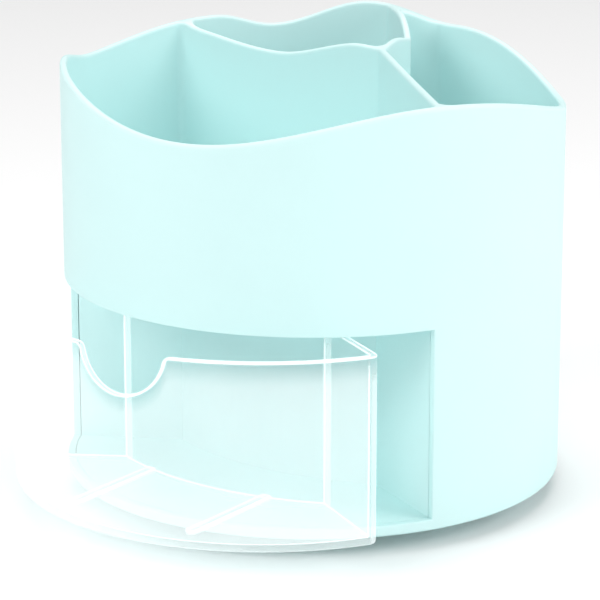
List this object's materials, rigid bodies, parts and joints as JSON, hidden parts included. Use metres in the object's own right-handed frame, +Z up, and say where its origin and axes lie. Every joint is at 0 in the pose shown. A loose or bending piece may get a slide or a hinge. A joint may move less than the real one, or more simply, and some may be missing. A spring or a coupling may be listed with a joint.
{
  "type": "desk organizer",
  "caption": "Round rotating desk organizer: wavy-rimmed cup split by slanting dividers over a clear sector-shaped pull-out drawer, on a low ball-bearing foot.",
  "frame": {"origin": "centre of the anti-slip pad's underside, on the desk and on the turntable's axis", "axes": "+Z up along the turntable's axis; the drawer slides out along -Y, so -Y is the front; +X is to the right seen from the drawer's side"},
  "size_m": [0.16, 0.1857, 0.1438],
  "materials": {
    "mint_shell": "satin moulded ABS, pale mint",
    "mint_inner": "satin moulded ABS, pale mint",
    "clear_drawer": "polished clear polystyrene",
    "foot_plastic": "moulded ABS, pale mint",
    "pad_rubber": "matt soft grey",
    "race_steel": "zinc plated, pressed",
    "cage_plastic": "natural nylon",
    "ball_steel": "polished bearing steel",
    "screw_steel": "zinc plated"
  },
  "bodies": {
    "foot": {"anti_slip_pad": "pad_rubber", "foot_disc": "foot_plastic", "lower_race": "race_steel"},
    "cup": {"housing": "mint_shell", "base_tray": "mint_inner", "tray_screws": "screw_steel", "upper_race": "race_steel", "pivot_washer": "screw_steel", "pivot_screw": "screw_steel"},
    "cage": {"ball_cage": "cage_plastic", "bearing_balls": "ball_steel"},
    "drawer": {"drawer": "clear_drawer"}
  },
  "joints": [
    {"name": "turntable", "type": "hinge", "parent": "foot", "child": "cup", "pos_m": [0, 0, 0.00535], "axis": [0, 0, 1], "continuous": true},
    {"name": "cage_orbit", "type": "hinge", "parent": "foot", "child": "cage", "pos_m": [0, 0, 0.00535], "axis": [0, 0, 1], "continuous": true},
    {"name": "drawer_slide", "type": "slide", "parent": "cup", "child": "drawer", "axis": [0, -1, 0], "range_m": [-0.0266, 0.0184]}
  ],
  "couplings": [
    {"joint": "cage_orbit", "follows": "turntable", "ratio": 0.5}
  ]
}
